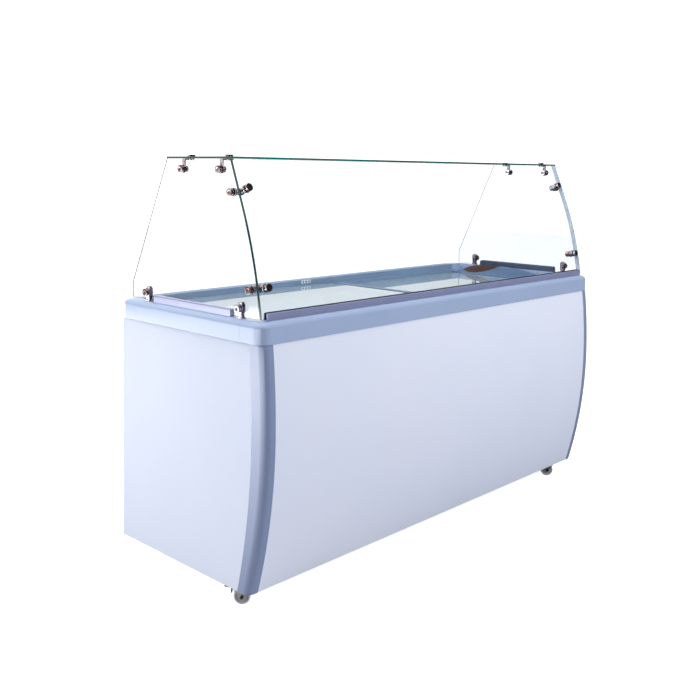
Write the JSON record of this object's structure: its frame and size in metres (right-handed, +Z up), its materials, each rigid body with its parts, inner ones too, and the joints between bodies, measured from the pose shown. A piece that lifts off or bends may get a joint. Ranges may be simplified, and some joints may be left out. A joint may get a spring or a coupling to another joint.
{
  "type": "chest freezer",
  "caption": "Island chest freezer on swivel casters with sliding flat glass lids and a glass serving guard with a curved front.",
  "frame": {"origin": "on the floor under the centre of the bounding box", "axes": "+X along the length, -Y towards the customer's side with the curved glass, +Y towards the operator's side, +Z up"},
  "size_m": [1.8, 0.704, 1.318],
  "materials": {
    "painted_sheet": "smooth semi-gloss white paint with a faint blue cast",
    "frame_plastic": "satin blue-grey extrusion",
    "pillar_plastic": "satin blue-grey moulding",
    "channel_metal": "coated aluminium channel, violet grey",
    "handle_plastic": "satin moulded plastic",
    "grip_plastic": "dark brown, lightly textured",
    "guard_glass": "clear float glass with polished green edges",
    "lid_glass": "coated low-emission glass, pale green",
    "chrome": "polished",
    "zinc_steel": "zinc plated",
    "tank_sheet": "embossed white sheet",
    "foam": "rigid polyurethane foam",
    "caster_tyre": "pale grey polyurethane",
    "black_plastic": "moulded black plastic",
    "black_paint": "black stove enamel",
    "aluminium": "mill finish fins"
  },
  "bodies": {
    "cabinet": {"front_panel": "painted_sheet", "side_panel_left": "painted_sheet", "side_panel_right": "painted_sheet", "rear_panel": "painted_sheet", "base_pan": "zinc_steel", "foam_insulation": "foam", "inner_liner": "tank_sheet", "corner_pillar_left": "pillar_plastic", "corner_pillar_right": "pillar_plastic", "frame_front": "frame_plastic", "frame_rear": "frame_plastic", "frame_left": "frame_plastic", "frame_right": "frame_plastic", "frame_corner_front_left": "frame_plastic", "frame_corner_front_right": "frame_plastic", "frame_corner_rear_left": "frame_plastic", "frame_corner_rear_right": "frame_plastic", "guard_side_left": "guard_glass", "guard_side_right": "guard_glass", "guard_front": "guard_glass", "guard_top": "guard_glass", "channel_left": "channel_metal", "channel_right": "channel_metal", "channel_front": "channel_metal", "clamp_corner_upper_left": "chrome", "clamp_corner_lower_left": "chrome", "clamp_corner_upper_right": "chrome", "clamp_corner_lower_right": "chrome", "clamp_top_front_left": "chrome", "clamp_top_rear_left": "chrome", "clamp_top_front_right": "chrome", "clamp_top_rear_right": "chrome", "clamp_base_front_left": "chrome", "clamp_base_rear_left": "chrome", "clamp_base_front_right": "chrome", "clamp_base_rear_right": "chrome", "compressor": "black_paint", "condenser": "aluminium", "vent_grille": "pillar_plastic", "cord_gland": "black_plastic"},
    "lid_left": {"lid_glass_left": "lid_glass", "lid_handle_left": "handle_plastic", "lid_grip_left": "grip_plastic", "lid_trim_left": "handle_plastic"},
    "lid_right": {"lid_glass_right": "lid_glass", "lid_handle_right": "handle_plastic", "lid_grip_right": "grip_plastic", "lid_trim_right": "handle_plastic"},
    "caster_front_left": {"caster_fork_front_left": "zinc_steel"},
    "caster_front_right": {"caster_fork_front_right": "zinc_steel"},
    "caster_rear_left": {"caster_fork_rear_left": "zinc_steel"},
    "caster_rear_right": {"caster_fork_rear_right": "zinc_steel"},
    "wheel_front_left": {"caster_wheel_front_left": "caster_tyre"},
    "wheel_front_right": {"caster_wheel_front_right": "caster_tyre"},
    "wheel_rear_left": {"caster_wheel_rear_left": "caster_tyre"},
    "wheel_rear_right": {"caster_wheel_rear_right": "caster_tyre"},
    "brake": {"brake_lever": "black_plastic"},
    "fan": {"fan_blade": "black_plastic"},
    "thermostat": {"thermostat_knob": "black_plastic"},
    "switch": {"power_switch": "black_plastic"}
  },
  "joints": [
    {"name": "lid_left_slide", "type": "slide", "parent": "cabinet", "child": "lid_left", "axis": [1, 0, 0], "range_m": [0, 0.76]},
    {"name": "lid_right_slide", "type": "slide", "parent": "cabinet", "child": "lid_right", "axis": [1, 0, 0], "range_m": [-0.76, 0]},
    {"name": "caster_front_left_swivel", "type": "hinge", "parent": "cabinet", "child": "caster_front_left", "pos_m": [-0.812, -0.194, 0.06], "axis": [0, 0, 1], "continuous": true},
    {"name": "caster_front_right_swivel", "type": "hinge", "parent": "cabinet", "child": "caster_front_right", "pos_m": [0.812, -0.194, 0.06], "axis": [0, 0, 1], "continuous": true},
    {"name": "caster_rear_left_swivel", "type": "hinge", "parent": "cabinet", "child": "caster_rear_left", "pos_m": [-0.75, 0.252, 0.06], "axis": [0, 0, 1], "continuous": true},
    {"name": "caster_rear_right_swivel", "type": "hinge", "parent": "cabinet", "child": "caster_rear_right", "pos_m": [0.75, 0.252, 0.06], "axis": [0, 0, 1], "continuous": true},
    {"name": "wheel_front_left_spin", "type": "hinge", "parent": "caster_front_left", "child": "wheel_front_left", "pos_m": [-0.82581, -0.17953, 0.025], "axis": [0.7236, 0.6903, 0], "continuous": true},
    {"name": "wheel_front_right_spin", "type": "hinge", "parent": "caster_front_right", "child": "wheel_front_right", "pos_m": [0.82581, -0.20847, 0.025], "axis": [0.7236, 0.6903, 0], "continuous": true},
    {"name": "wheel_rear_left_spin", "type": "hinge", "parent": "caster_rear_left", "child": "wheel_rear_left", "pos_m": [-0.7638, 0.26647, 0.025], "axis": [0.7236, 0.6903, 0], "continuous": true},
    {"name": "wheel_rear_right_spin", "type": "hinge", "parent": "caster_rear_right", "child": "wheel_rear_right", "pos_m": [0.7362, 0.26647, 0.025], "axis": [0.7236, 0.6903, 0], "continuous": true},
    {"name": "brake_press", "type": "hinge", "parent": "caster_front_left", "child": "brake", "pos_m": [-0.83685, -0.16795, 0.052], "axis": [-0.7236, -0.6903, 0], "range_deg": [0, 12]},
    {"name": "fan_spin", "type": "hinge", "parent": "cabinet", "child": "fan", "pos_m": [0.755, 0.258, 0.187], "axis": [0, 1, 0], "continuous": true},
    {"name": "thermostat_turn", "type": "hinge", "parent": "cabinet", "child": "thermostat", "pos_m": [0.607, 0.348, 0.288], "axis": [0, -1, 0], "range_deg": [0, 270]},
    {"name": "switch_rock", "type": "hinge", "parent": "cabinet", "child": "switch", "pos_m": [0.607, 0.3431, 0.232], "axis": [1, 0, 0], "range_deg": [0, 12]}
  ]
}
